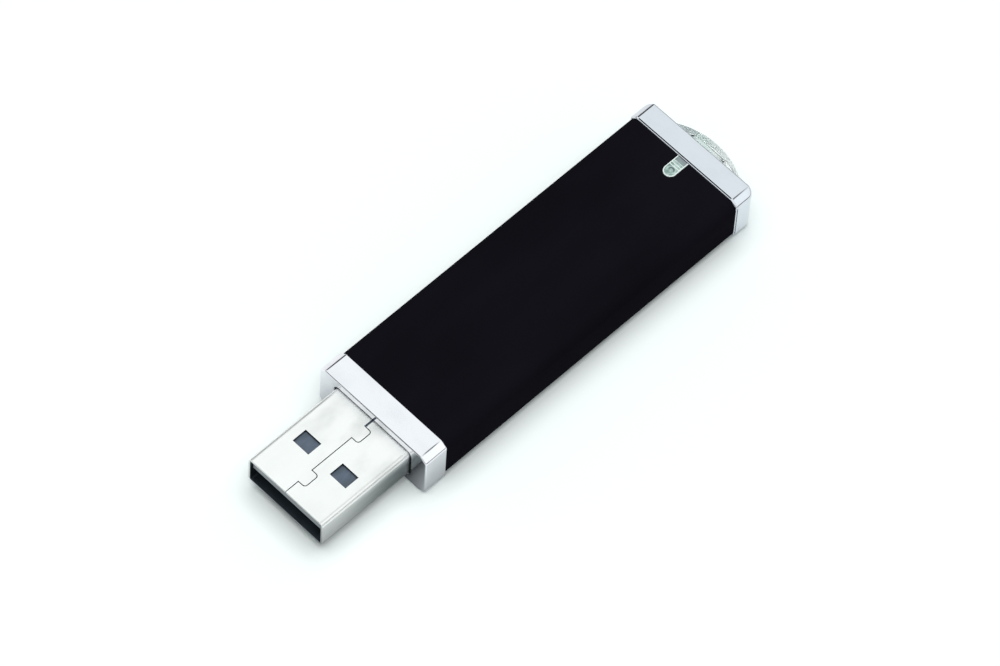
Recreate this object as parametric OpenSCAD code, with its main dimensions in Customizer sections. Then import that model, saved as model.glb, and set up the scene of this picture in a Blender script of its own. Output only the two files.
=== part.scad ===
// Pocket memory stick with a Type-A plug: a black sleeve closed by a bright
// front bezel and a bright rear cap, with a clear light guide that comes out
// of the rear cap as a lanyard loop.
//
// Frame: X is the width, Y runs from the plug's tip (low) to the lanyard loop
// (high), and Z is up. The origin is under the middle of the whole object, at
// its lowest face.

/* [Case] */
// Width of the case
case_w = 17.2; // [16.6:0.1:22]
// Height of the case
case_h = 7.3; // [7:0.1:9.5]
// Length of the black sleeve
sleeve_len = 46.2; // [45.4:0.1:60]
// Corner radius of the black sleeve
sleeve_r = 1.85; // [0.8:0.05:1.9]
// Thickness of the sleeve's side walls
side_wall = 1.2; // [1:0.05:1.3]
// Thickness of the sleeve's top and bottom walls
flat_wall = 1; // [0.8:0.05:1.1]
// Depth of the front bezel
bezel_len = 3.3; // [2.2:0.1:5]
// Depth of the rear cap
cap_len = 3; // [2:0.1:5]
// Width of the corner bevels of the bezel and cap, seen from above
bevel_w = 0.9; // [0.4:0.05:1.2]
// Height of the corner bevels of the bezel and cap, seen from the side
bevel_h = 0.75; // [0.4:0.05:1]
// Corner radius of the rear cap, seen from above
cap_corner_r = 0.9; // [0.3:0.05:1.1]

/* [Plug] */
// Width over the steel shell
plug_w = 12; // [11.9:0.01:12.1]
// Height over the steel shell
plug_h = 4.5; // [4.4:0.01:4.6]
// Length of the plug in front of the bezel
plug_reach = 13.5; // [11.75:0.05:15]
// Thickness of the shell's steel
shell_t = 0.3; // [0.25:0.01:0.32]
// Outer corner radius of the shell
shell_r = 0.65; // [0.4:0.05:0.8]
// Length of the shell behind the bezel's front face
shell_behind = 5.3; // [4.8:0.1:6]
// Thickness of the plastic tongue
tongue_t = 1.84; // [1.7:0.01:1.9]
// How far the tongue's end sits back from the shell's tip
tongue_back = 0.4; // [0.2:0.05:1]
// Width of one latch window in the shell
window_w = 2.5; // [2.2:0.05:2.7]
// Length of one latch window in the shell
window_len = 2; // [1.6:0.05:2.2]
// Distance from the shell's tip to the latch windows
window_back = 5.2; // [4.8:0.05:5.6]
// Distance from the plug's middle to the middle of a latch window
window_x = 3; // [2.7:0.05:3.4]
// Gap left by the folded seam
seam_gap = 0.12; // [0.04:0.01:0.16]
// Width of the slot in the last stretch of the seam
seam_slot = 0.28; // [0.2:0.02:0.4]
// How far the interlocking tabs of the seam reach sideways
seam_tab_w = 1.05; // [0.6:0.05:1.1]
// Length of an interlocking tab of the seam
seam_tab_len = 2.1; // [1.6:0.05:2.4]

/* [Contacts] */
// Width of one contact strip
contact_w = 1; // [0.8:0.05:1.1]
// Thickness of one contact strip
contact_t = 0.2; // [0.15:0.01:0.25]
// Distance from the middle to the inner pair of contacts
contact_x_inner = 1; // [0.9:0.05:1.1]
// Distance from the middle to the outer pair of contacts
contact_x_outer = 3.5; // [3.4:0.05:3.7]
// Distance from the shell's tip to the long outer contacts
outer_contact_back = 1.2; // [1:0.05:1.6]
// Distance from the shell's tip to the short inner contacts
inner_contact_back = 2.2; // [1.9:0.05:2.6]
// Length of a contact's tail on the circuit board
tail_len = 1.9; // [1.2:0.1:2.2]

/* [Circuit board] */
// Thickness of the circuit board
board_t = 0.8; // [0.6:0.05:1]
// Length and width of the controller's square body
controller_w = 7; // [6.5:0.1:7.4]
// Width of the memory chip's body
memory_w = 12; // [10:0.1:12.2]
// Length of the memory chip's body
memory_len = 18.4; // [14:0.1:18.6]
// Spacing of the leads of both chips
lead_pitch = 0.5; // [0.48:0.01:0.52]

/* [Light guide and loop] */
// Width of the window in the top of the sleeve
led_window_w = 1.8; // [1.4:0.05:2.4]
// Length of the window, from the sleeve's rear end
led_window_len = 3.1; // [2.8:0.05:3.6]
// Thickness of the lanyard loop
loop_t = 2.4; // [1.8:0.05:2.8]
// How far the loop stands out behind the rear cap
loop_reach = 2.5; // [2:0.05:4]
// How far the loop's ends have already risen where they leave the rear cap
loop_root = 0.25; // [0.2:0.05:0.6]
// Width of the lanyard hole
eye_w = 5.6; // [4:0.1:8]
// Thickness of the loop outside the lanyard hole
loop_band = 0.95; // [0.7:0.05:1.1]

/* [Fits] */
// Gap between the plug's shell and the bezel, all round
plug_gap = 0.2; // [0.15:0.05:0.3]
// Gap round pieces that slide into each other
slide_gap = 0.05; // [0.03:0.01:0.1]
// Gap between the loop's plate and the sleeve's side walls
loop_side_gap = 1; // [0.1:0.05:1]
// How far a snap hook reaches into the sleeve's wall
hook_reach = 0.3; // [0.2:0.05:0.4]

/* [Hidden] */
$fn = 64;
// A cut runs past the face that it opens by this much
over = 0.1;

// Places along the length, from the plug's tip to the loop's rearmost point
total_len = plug_reach + bezel_len + sleeve_len + cap_len + loop_reach;
tip_y = -total_len / 2;
bezel_front = tip_y + plug_reach;
sleeve_front = bezel_front + bezel_len;
sleeve_rear = sleeve_front + sleeve_len;
cap_rear = sleeve_rear + cap_len;
loop_rear = cap_rear + loop_reach;
shell_rear = bezel_front + shell_behind;

// Heights
mid_z = case_h / 2;
inner_w = case_w - 2 * side_wall;
inner_h = case_h - 2 * flat_wall;
inner_r = 0.5;
ceiling_z = case_h - flat_wall;
shell_top = mid_z + plug_h / 2 - shell_t;
shell_inner_w = plug_w - 2 * shell_t;
tongue_low = shell_top - tongue_t;
// A contact stands proud of the tongue by half of its thickness
contact_low = tongue_low - contact_t / 2;
board_top = contact_low;
board_low = board_top - board_t;

// Snap hooks, which are the same on the bezel and on the cap
hook_w = 3.2;
hook_t = 0.95;
hook_len = 3.6;
barb_w = 1.6;
barb_len = 1;
barb_back = 0.5;
cap_hook_x = 4.5;

// Circuit board outline
board_front = shell_rear + 0.3;
board_neck_w = shell_inner_w - 2 * slide_gap;
lug_len = 2;
board_shoulder = max(shell_rear + lug_len, sleeve_front + hook_len) + 2 * slide_gap;
board_gap = 0.3;
board_w = inner_w - 2 * board_gap;
tail_rear = board_front + tail_len;
led_len = 1.6;
led_w = 0.8;
led_base_h = 0.3;
led_capsule_h = 0.4;
window_front = sleeve_rear - led_window_len;
led_y = window_front + led_window_w / 2;
board_rear = led_y + led_len / 2 + 0.2;

// Rails that hold the board's edges
rail_reach = 0.9;
rail_t = 0.7;
rail_front = board_shoulder + 1.5;
rail_rear = board_rear - 4;

// Chips
chip_lift = 0.1;
chip_t = 1.4;
memory_t = 1;
lead_w = 0.22;
lead_t = 0.15;
controller_leads_per_side = 12;
memory_leads_per_end = 24;
controller_lead_reach = 1;
memory_lead_reach = 0.8;
line_part_y = max(tail_rear, board_shoulder) + 0.8;
controller_y = line_part_y + 1 + controller_lead_reach + controller_w / 2;
memory_y = led_y - led_len / 2 - 0.5 - memory_lead_reach - memory_len / 2;
// The small parts stand in the gap between the two chips
controller_end = controller_y + controller_w / 2 + controller_lead_reach;
memory_start = memory_y - memory_len / 2 - memory_lead_reach;
small_parts_y = (controller_end + memory_start) / 2;
crystal_len = 3.2;
crystal_w = 5;
crystal_base_h = 0.5;
crystal_lid_h = 0.5;
crystal_x = -3.3;
regulator_x = 3.9;
line_part_w = 0.55;
line_part_len = 1;
resistor_h = 0.4;
lamp_resistor_x = 2.4;
capacitor_x = 5.5;
capacitor_spread = 2;
capacitor_w = 1.25;
capacitor_len = 0.8;
capacitor_h = 0.6;
regulator_w = 2.9;
regulator_len = 1.3;
regulator_t = 1;
regulator_lead_reach = 0.6;
regulator_lead_spread = 0.95;
controller_lead_z = board_top + chip_lift + chip_t / 2;
memory_lead_z = board_top + chip_lift + memory_t / 2;
regulator_lead_z = board_top + chip_lift + regulator_t / 2;

// Plug insulator's block, which closes the shell's rear end
block_len = 3.8;
block_front = shell_rear - block_len;

// Light guide
loop_half_w = inner_w / 2 - loop_side_gap;
guide_front = board_rear + 0.15;
lens_low = board_top + led_base_h + led_capsule_h + 0.1;
loop_low = mid_z - loop_t / 2;
eye_r = 0.6;
eye_depth = loop_reach - loop_band;

// ---------------------------------------------------------------- shapes

// Draws its child's outline in X and Z, and fills it from y0 to y1
module along_y(y0, y1) {
  translate([0, y1, 0])
    rotate([90, 0, 0])
      linear_extrude(height = y1 - y0)
        children();
}

// Rectangle with four round corners, centred
module round_rect(w, h, r) {
  square([w - 2 * r, h], center = true);
  square([w, h - 2 * r], center = true);
  for (sx = [-1, 1], sy = [-1, 1])
    translate([sx * (w / 2 - r), sy * (h / 2 - r)])
      circle(r = r);
}

// Outline of the bezel and cap: a rectangle with four bevelled corners
module bevel_rect(w, h, bw, bh) {
  polygon([
    [-w / 2, -h / 2 + bh], [-w / 2 + bw, -h / 2],
    [w / 2 - bw, -h / 2], [w / 2, -h / 2 + bh],
    [w / 2, h / 2 - bh], [w / 2 - bw, h / 2],
    [-w / 2 + bw, h / 2], [-w / 2, h / 2 - bh]
  ]);
}

// Box given by its middle in X and by its low corner in Y and Z
module slab(x, y, z, w, len, h) {
  translate([x - w / 2, y, z])
    cube([w, len, h]);
}

// Slot with one round end at y0, open towards +Y, standing from z0 to z1
module open_slot(w, y0, y1, z0, z1) {
  translate([0, y0 + w / 2, z0])
    cylinder(r = w / 2, h = z1 - z0);
  slab(0, y0 + w / 2, z0, w, y1 - y0 - w / 2, z1 - z0);
}

// Snap hook that runs along +Y from y = 0. Its outer face is at z = 0, and it
// starts a little inside the piece that it belongs to.
module hook() {
  slab(0, -over, -hook_t, hook_w, hook_len + over, hook_t);
  slab(0, hook_len - barb_back - barb_len, -over, barb_w, barb_len, hook_reach + over);
}

// Room for the hook's barb in the wall that the hook slides along
module hook_pocket() {
  slab(0, hook_len - barb_back - barb_len - slide_gap, -over,
    barb_w + 2 * slide_gap, barb_len + 2 * slide_gap, hook_reach + slide_gap + over);
}

// Puts its child at the bezel's two hooks, on the sleeve's side walls
module at_bezel_hooks() {
  for (side = [-1, 1])
    translate([side * (inner_w / 2 - slide_gap), sleeve_front, mid_z])
      rotate([0, side * 90, 0])
        children();
}

// Puts its child at the cap's four hooks, on the sleeve's flat walls
module at_cap_hooks() {
  for (side = [-1, 1], turn = [0, 180])
    translate([side * cap_hook_x, sleeve_rear, mid_z])
      rotate([0, turn, 0])
        translate([0, 0, inner_h / 2 - slide_gap])
          mirror([0, 1, 0])
            children();
}

// One gull-wing lead: it leaves a chip at height z1, steps down and ends on
// the board. It runs towards +Y from y = 0.
module gull_lead(reach, z1) {
  knee = reach * 0.35;
  slab(0, -over, z1 - lead_t, lead_w, knee + lead_t + over, lead_t);
  slab(0, knee, board_top, lead_w, lead_t, z1 - board_top);
  slab(0, knee, board_top, lead_w, reach - knee, lead_t);
}

// Row of leads side by side, centred on x = 0
module lead_row(count, reach, z1) {
  for (i = [0 : count - 1])
    translate([(i - (count - 1) / 2) * lead_pitch, 0, 0])
      gull_lead(reach, z1);
}

// Small two-ended part that stands on the board
module chip_part(x, y, w, len, h) {
  slab(x, y - len / 2, board_top, w, len, h);
}

// ---------------------------------------------------------------- case

// Black sleeve, open at both ends, with rails for the board inside
module body_sleeve() {
  color([0.08, 0.07, 0.09])
    difference() {
      union() {
        translate([0, 0, mid_z])
          along_y(sleeve_front, sleeve_rear)
            difference() {
              round_rect(case_w, case_h, sleeve_r);
              round_rect(inner_w, inner_h, inner_r);
            }
        for (side = [-1, 1], z = [board_low - slide_gap - rail_t, board_top + slide_gap])
          slab(side * (inner_w / 2 + (over - rail_reach) / 2), rail_front, z,
            rail_reach + over, rail_rear - rail_front, rail_t);
      }
      open_slot(led_window_w, window_front, sleeve_rear + over, ceiling_z - over, case_h + over);
      at_bezel_hooks()
        hook_pocket();
      at_cap_hooks()
        hook_pocket();
    }
}

// Bright front bezel, with the plug's opening and two snap hooks
module front_bezel() {
  color([0.9, 0.91, 0.94]) {
    translate([0, 0, mid_z])
      along_y(bezel_front, sleeve_front)
        difference() {
          bevel_rect(case_w, case_h, bevel_w, bevel_h);
          round_rect(plug_w + 2 * plug_gap, plug_h + 2 * plug_gap, shell_r + plug_gap);
        }
    at_bezel_hooks()
      hook();
  }
}

// Bright rear cap, with the slot for the loop and four snap hooks
module rear_cap() {
  color([0.82, 0.86, 0.9])
    difference() {
      union() {
        intersection() {
          translate([0, 0, mid_z])
            along_y(sleeve_rear, cap_rear)
              bevel_rect(case_w, case_h, bevel_w, bevel_h);
          linear_extrude(height = case_h)
            cap_plan();
        }
        at_cap_hooks()
          hook();
      }
      slab(0, sleeve_rear - over, loop_low - slide_gap, 2 * (loop_half_w + slide_gap),
        cap_len + 2 * over, loop_t + 2 * slide_gap);
    }
}

// Outline of the rear cap from above, with two round rear corners
module cap_plan() {
  translate([-case_w / 2, sleeve_rear])
    square([case_w, cap_len - cap_corner_r]);
  translate([-case_w / 2 + cap_corner_r, sleeve_rear])
    square([case_w - 2 * cap_corner_r, cap_len]);
  for (side = [-1, 1])
    translate([side * (case_w / 2 - cap_corner_r), cap_rear - cap_corner_r])
      circle(r = cap_corner_r);
}

// ---------------------------------------------------------------- light guide

// Clear piece: the lens in the sleeve's window, the plate through the rear
// cap and the lanyard loop behind it
module light_guide_loop() {
  color([0.75, 0.86, 0.82, 0.5])
    difference() {
      union() {
        open_slot(led_window_w - 2 * slide_gap, window_front + slide_gap, sleeve_rear - slide_gap,
          lens_low, case_h);
        slab(0, guide_front, loop_low, 2 * loop_half_w, sleeve_rear - guide_front, loop_t);
        translate([0, 0, loop_low])
          linear_extrude(height = loop_t)
            loop_plan();
      }
      translate([0, 0, loop_low - over])
        linear_extrude(height = loop_t + 2 * over)
          translate([0, cap_rear + eye_depth / 2])
            round_rect(eye_w, eye_depth, eye_r);
    }
}

// Outline of the plate and loop from above: the loop's rear edge is one arc
// through its two ends at the cap and its rearmost point
module loop_plan() {
  rise = loop_reach - loop_root;
  arc_r = (loop_half_w * loop_half_w + rise * rise) / (2 * rise);
  translate([-loop_half_w, sleeve_rear])
    square([2 * loop_half_w, cap_len + loop_root]);
  intersection() {
    translate([0, loop_rear - arc_r])
      circle(r = arc_r, $fn = 180);
    translate([-loop_half_w, cap_rear])
      square([2 * loop_half_w, loop_reach + over]);
  }
}

// ---------------------------------------------------------------- plug

// Folded steel shell, with its interlocked seam on top, four latch windows
// and two lugs that are soldered to the board's edges
module plug_shell() {
  color([0.86, 0.88, 0.87]) {
    difference() {
      translate([0, 0, mid_z])
        along_y(tip_y, shell_rear)
          difference() {
            round_rect(plug_w, plug_h, shell_r);
            round_rect(shell_inner_w, plug_h - 2 * shell_t, shell_r - shell_t);
          }
      for (side = [-1, 1])
        slab(side * window_x, tip_y + window_back, mid_z - plug_h, window_w, window_len, 2 * plug_h);
      translate([0, 0, shell_top - over])
        linear_extrude(height = shell_t + 2 * over)
          seam_plan();
    }
    for (side = [-1, 1])
      slab(side * (plug_w / 2 - shell_t / 2), shell_rear - over, board_low, shell_t,
        lug_len + over, board_t);
  }
}

// The seam from above: a thin line that steps round two tabs, then a slot
module seam_plan() {
  tab_starts = [tip_y + 2, tip_y + 10.25];
  slot_start = tab_starts[1] + seam_tab_len;
  seam_run(tip_y - over, tab_starts[0]);
  seam_run(tab_starts[0] + seam_tab_len, tab_starts[1]);
  for (y = tab_starts)
    seam_tab(y);
  translate([-seam_slot / 2, slot_start])
    square([seam_slot, shell_rear - slot_start + over]);
}

// Straight stretch of the seam
module seam_run(y0, y1) {
  translate([-seam_gap / 2, y0])
    square([seam_gap, y1 - y0 + seam_gap / 2]);
}

// Outline of one interlocking tab
module seam_tab(y) {
  for (step = [0, seam_tab_len])
    translate([-seam_gap / 2, y + step - seam_gap / 2])
      square([seam_tab_w + seam_gap, seam_gap]);
  translate([seam_tab_w - seam_gap / 2, y - seam_gap / 2])
    square([seam_gap, seam_tab_len + seam_gap]);
}

// Plastic tongue with the block that closes the shell's rear end
module plug_insulator() {
  color([0.2, 0.22, 0.24])
    difference() {
      union() {
        translate([0, 0, mid_z])
          along_y(tip_y + tongue_back, shell_rear)
            tongue_section();
        translate([0, 0, mid_z])
          along_y(block_front, shell_rear)
            round_rect(shell_inner_w, plug_h - 2 * shell_t, shell_r - shell_t);
      }
      for (c = [contact_x_outer, contact_x_inner], side = [-1, 1])
        slab(side * c, tip_y + (c == contact_x_outer ? outer_contact_back : inner_contact_back),
          contact_low, contact_w, shell_rear - tip_y, contact_t);
    }
}

// Outline of the tongue: the top of the shell's inside, less a sliding gap
module tongue_section() {
  intersection() {
    round_rect(shell_inner_w - 2 * slide_gap, plug_h - 2 * (shell_t + slide_gap), shell_r - shell_t);
    translate([-plug_w / 2, tongue_low - mid_z])
      square([plug_w, plug_h]);
  }
}

// Contact strip, from its front end in the tongue to its tail on the board
module contact(x, back) {
  color([0.93, 0.78, 0.42])
    slab(x, tip_y + back, contact_low, contact_w,
      tail_rear - tip_y - back, contact_t);
}

module contact_power() {
  contact(-contact_x_outer, outer_contact_back);
}

module contact_data_minus() {
  contact(-contact_x_inner, inner_contact_back);
}

module contact_data_plus() {
  contact(contact_x_inner, inner_contact_back);
}

module contact_ground() {
  contact(contact_x_outer, outer_contact_back);
}

// ---------------------------------------------------------------- electronics

// Circuit board: a narrow neck between the shell's lugs, then the full width
// in the rails
module circuit_board() {
  color([0.1, 0.35, 0.22]) {
    slab(0, board_front, board_low, board_neck_w, board_shoulder - board_front, board_t);
    slab(0, board_shoulder, board_low, board_w, board_rear - board_shoulder, board_t);
  }
}

// Controller: a square chip with leads on all four sides
module controller_chip() {
  color([0.09, 0.09, 0.1])
    chip_body(controller_y, controller_w, controller_w, chip_t);
}

module chip_body(y, w, len, t) {
  slab(0, y - len / 2, board_top + chip_lift, w, len, t);
}

module controller_leads() {
  color([0.8, 0.8, 0.78])
    translate([0, controller_y, 0])
      difference() {
        for (turn = [0 : 90 : 270])
          rotate([0, 0, turn])
            translate([0, controller_w / 2, 0])
              lead_row(controller_leads_per_side, controller_lead_reach, controller_lead_z);
        slab(0, -controller_w / 2, board_top, controller_w, controller_w, 2 * chip_t);
      }
}

// Memory: a long flat chip with leads at its two ends
module memory_chip() {
  color([0.09, 0.09, 0.1])
    chip_body(memory_y, memory_w, memory_len, memory_t);
}

module memory_leads() {
  color([0.8, 0.8, 0.78])
    translate([0, memory_y, 0])
      difference() {
        for (turn = [0, 180])
          rotate([0, 0, turn])
            translate([0, memory_len / 2, 0])
              lead_row(memory_leads_per_end, memory_lead_reach, memory_lead_z);
        slab(0, -memory_len / 2, board_top, memory_w, memory_len, 2 * memory_t);
      }
}

module crystal_base() {
  color([0.75, 0.72, 0.65])
    chip_part(crystal_x, small_parts_y, crystal_w, crystal_len, crystal_base_h);
}

module crystal_lid() {
  rim = 0.25;
  color([0.8, 0.8, 0.8])
    slab(crystal_x, small_parts_y - crystal_len / 2 + rim, board_top + crystal_base_h,
      crystal_w - 2 * rim, crystal_len - 2 * rim, crystal_lid_h);
}

module voltage_regulator() {
  color([0.09, 0.09, 0.1])
    slab(regulator_x, small_parts_y - regulator_len / 2, board_top + chip_lift,
      regulator_w, regulator_len, regulator_t);
}

module regulator_leads() {
  color([0.8, 0.8, 0.78])
    translate([regulator_x, small_parts_y, 0])
      difference() {
        union() {
          translate([0, regulator_len / 2, 0])
            gull_lead(regulator_lead_reach, regulator_lead_z);
          for (side = [-1, 1])
            translate([side * regulator_lead_spread, -regulator_len / 2, 0])
              rotate([0, 0, 180])
                gull_lead(regulator_lead_reach, regulator_lead_z);
        }
        slab(0, -regulator_len / 2, board_top, regulator_w, regulator_len, 2 * regulator_t);
      }
}

module led_base() {
  color([0.92, 0.92, 0.88])
    chip_part(0, led_y, led_w, led_len, led_base_h);
}

module led_capsule() {
  inset = 0.25;
  color([0.7, 0.9, 0.8, 0.6])
    slab(0, led_y - led_len / 2 + inset, board_top + led_base_h,
      led_w, led_len - 2 * inset, led_capsule_h);
}

// Four small capacitors, two on each side of the controller
module capacitors() {
  color([0.72, 0.6, 0.45])
    for (side = [-1, 1], end = [-1, 1])
      chip_part(side * capacitor_x, controller_y + end * capacitor_spread,
        capacitor_w, capacitor_len, capacitor_h);
}

// Three resistors in a row: two for the data lines and one for the lamp
module resistors() {
  color([0.1, 0.1, 0.12])
    for (x = [-contact_x_inner, contact_x_inner])
      chip_part(x, line_part_y, line_part_w, line_part_len, resistor_h);
  color([0.1, 0.1, 0.12])
    chip_part(lamp_resistor_x, led_y, led_w, led_len, resistor_h);
}

module ferrite_bead() {
  color([0.25, 0.25, 0.27])
    chip_part(-contact_x_outer, line_part_y, led_w, line_part_len, capacitor_h);
}

// ---------------------------------------------------------------- assembly

body_sleeve();
front_bezel();
rear_cap();
light_guide_loop();
plug_shell();
plug_insulator();
contact_power();
contact_data_minus();
contact_data_plus();
contact_ground();
circuit_board();
controller_chip();
controller_leads();
memory_chip();
memory_leads();
crystal_base();
crystal_lid();
voltage_regulator();
regulator_leads();
led_base();
led_capsule();
capacitors();
resistors();
ferrite_bead();
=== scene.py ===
"""Pocket memory stick: a black sleeve between two bright trims, a folded steel
plug in front and a clear light guide that ends in a lanyard loop.

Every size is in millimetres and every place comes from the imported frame. The
meshes are made in millimetres too, and are scaled to metres when they are done.
"""

import logging
import math
from collections.abc import Callable, Iterable, Sequence
from dataclasses import dataclass, field
from enum import Enum
from typing import Any, Union

import bmesh
import bpy
from mathutils import Matrix, Vector


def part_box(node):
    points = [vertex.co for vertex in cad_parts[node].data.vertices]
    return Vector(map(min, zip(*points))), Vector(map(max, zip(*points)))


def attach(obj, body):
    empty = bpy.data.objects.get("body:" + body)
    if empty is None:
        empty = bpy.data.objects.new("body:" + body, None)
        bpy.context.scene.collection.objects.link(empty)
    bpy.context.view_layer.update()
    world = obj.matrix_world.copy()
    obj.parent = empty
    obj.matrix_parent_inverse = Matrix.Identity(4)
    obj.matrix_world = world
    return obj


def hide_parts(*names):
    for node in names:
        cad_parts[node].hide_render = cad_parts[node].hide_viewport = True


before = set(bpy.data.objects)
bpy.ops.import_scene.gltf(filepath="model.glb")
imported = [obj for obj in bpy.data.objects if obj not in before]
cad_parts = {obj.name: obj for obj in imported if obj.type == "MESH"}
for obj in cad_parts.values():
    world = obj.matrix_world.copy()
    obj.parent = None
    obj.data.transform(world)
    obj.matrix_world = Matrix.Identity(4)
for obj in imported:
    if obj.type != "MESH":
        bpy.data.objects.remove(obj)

log = logging.getLogger("memory_stick")

MM = 0.001
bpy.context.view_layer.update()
ROOT = "root"

# Margins in millimetres: two places are one, just beyond a face, and close to an edge.
SAME = 1e-4
SKIN = 0.001
NEAR = 0.01
# Angles: two faces are one plane, an outer edge is sharp, and shading breaks at an edge.
FLAT = math.radians(0.2)
SHARP = math.radians(25)
CREASE = math.radians(34)

Colour = tuple[float, float, float]
Span = tuple[float, float]
Chooser = Callable[[Vector, Vector], bool]


class Axis(Enum):
    """The row's three directions."""

    ACROSS = 0
    ALONG = 1
    UP = 2


class Cut(Enum):
    """What one solid does to another."""

    TAKE = "DIFFERENCE"
    ADD = "UNION"
    KEEP = "INTERSECT"


# ------------------------------------------------------------------ shader maths


@dataclass(frozen=True)
class Signal:
    """A number on its way through a material. Arithmetic on it adds Math nodes."""

    tree: "NodeTree"
    socket: bpy.types.NodeSocket

    def _maths(self, operation: str, first: "Value", second: "Value") -> "Signal":
        """Adds one Math node.

        Args:
            operation: The Math node's operation.
            first: The left operand.
            second: The right operand.

        Returns:
            The node's result.
        """
        node = self.tree.node("ShaderNodeMath", {"operation": operation}, {0: first, 1: second})
        return Signal(self.tree, node.outputs[0])

    def __add__(self, other: "Value") -> "Signal":
        """self + other."""
        return self._maths("ADD", self, other)

    def __radd__(self, other: "Value") -> "Signal":
        """other + self."""
        return self._maths("ADD", other, self)

    def __sub__(self, other: "Value") -> "Signal":
        """self - other."""
        return self._maths("SUBTRACT", self, other)

    def __rsub__(self, other: "Value") -> "Signal":
        """other - self."""
        return self._maths("SUBTRACT", other, self)

    def __mul__(self, other: "Value") -> "Signal":
        """self * other."""
        return self._maths("MULTIPLY", self, other)

    def __abs__(self) -> "Signal":
        """Size without sign."""
        return self._maths("ABSOLUTE", self, 0.0)

    def above(self, other: "Value") -> "Signal":
        """1 where self is larger than other, and 0 elsewhere."""
        return self._maths("GREATER_THAN", self, other)

    def most(self, other: "Value") -> "Signal":
        """The larger of the two."""
        return self._maths("MAXIMUM", self, other)

    def sine(self) -> "Signal":
        """Its sine."""
        node = self.tree.node("ShaderNodeMath", {"operation": "SINE"}, {0: self})
        return Signal(self.tree, node.outputs[0])

    def smooth(self, start: float, end: float) -> "Signal":
        """A soft step.

        Args:
            start: Where the result is still 0.
            end: Where the result has reached 1.

        Returns:
            The step's height.
        """
        node = self.tree.node(
            "ShaderNodeMapRange",
            {"interpolation_type": "SMOOTHSTEP"},
            {"Value": self, "From Min": start, "From Max": end, "To Min": 0.0, "To Max": 1.0},
        )
        return Signal(self.tree, node.outputs["Result"])


Value = Union[float, Signal]


class NodeTree:
    """Builds the nodes of one material or of the world."""

    def __init__(self, tree: bpy.types.NodeTree) -> None:
        """Takes over a node tree and empties it."""
        self.tree = tree
        tree.nodes.clear()

    def node(
        self,
        kind: str,
        settings: dict[str, Any] | None = None,
        inputs: dict[Any, Any] | None = None,
    ) -> bpy.types.Node:
        """Adds a node.

        Args:
            kind: The node's type.
            settings: Its own properties.
            inputs: Values, signals or sockets, by the input's name or index.

        Returns:
            The new node.
        """
        made = self.tree.nodes.new(kind)
        for name, value in (settings or {}).items():
            setattr(made, name, value)
        for name, value in (inputs or {}).items():
            if isinstance(value, Signal):
                value = value.socket
            if isinstance(value, bpy.types.NodeSocket):
                self.tree.links.new(value, made.inputs[name])
            else:
                made.inputs[name].default_value = value
        return made

    def millimetres(self, scale: Colour = (1.0, 1.0, 1.0)) -> bpy.types.NodeSocket:
        """The place on the piece in millimetres.

        Args:
            scale: How many times each direction is repeated.

        Returns:
            A vector socket.
        """
        place = self.node("ShaderNodeTexCoord")
        mapping = self.node(
            "ShaderNodeMapping",
            inputs={"Vector": place.outputs["Object"], "Scale": tuple(s / MM for s in scale)},
        )
        return mapping.outputs["Vector"]

    def place(self) -> tuple[Signal, Signal, Signal]:
        """The place on the piece in millimetres, as three numbers."""
        split = self.node("ShaderNodeSeparateXYZ", inputs={0: self.millimetres()})
        return tuple(Signal(self, output) for output in split.outputs)

    def noise(self, scale: Colour, detail: float = 2.0, roughness: float = 0.5) -> Signal:
        """Cloudy noise from 0 to 1.

        Args:
            scale: Clouds per millimetre in each direction.
            detail: How many finer layers it has.
            roughness: How strong the finer layers are.

        Returns:
            The noise.
        """
        node = self.node(
            "ShaderNodeTexNoise",
            inputs={
                "Vector": self.millimetres(scale),
                "Scale": 1.0,
                "Detail": detail,
                "Roughness": roughness,
            },
        )
        return Signal(self, node.outputs[0])

    def mix(self, factor: Value, first: Any, second: Any) -> bpy.types.NodeSocket:
        """Mixes two colours.

        Args:
            factor: 0 gives the first and 1 gives the second.
            first: A colour or a colour socket.
            second: A colour or a colour socket.

        Returns:
            The mixed colour's socket.
        """
        pad = lambda c: (*c, 1.0) if isinstance(c, tuple) else c
        node = self.node(
            "ShaderNodeMix", {"data_type": "RGBA"}, {0: factor, 6: pad(first), 7: pad(second)}
        )
        return node.outputs[2]

    def bump(self, height: Signal, depth_mm: float, strength: float = 1.0) -> bpy.types.NodeSocket:
        """Turns a height into a normal.

        Args:
            height: The height, from 0 to 1.
            depth_mm: What a height of 1 measures.
            strength: How much of it is used.

        Returns:
            The normal's socket.
        """
        node = self.node(
            "ShaderNodeBump", inputs={"Height": height, "Distance": depth_mm * MM, "Strength": strength}
        )
        return node.outputs["Normal"]


class Finish:
    """One material. A subclass says what it looks like."""

    def make(self) -> bpy.types.Material:
        """Builds the material, once for each finish.

        Returns:
            The material.
        """
        name = type(self).__name__
        if name in bpy.data.materials:
            return bpy.data.materials[name]
        material = bpy.data.materials.new(name)
        material.use_nodes = True
        tree = NodeTree(material.node_tree)
        shader = tree.node("ShaderNodeBsdfPrincipled", inputs=self.inputs(tree))
        tree.node("ShaderNodeOutputMaterial", inputs={"Surface": shader.outputs["BSDF"]})
        return material

    def inputs(self, tree: NodeTree) -> dict[str, Any]:
        """What the shader's sockets get."""
        raise NotImplementedError


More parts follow.
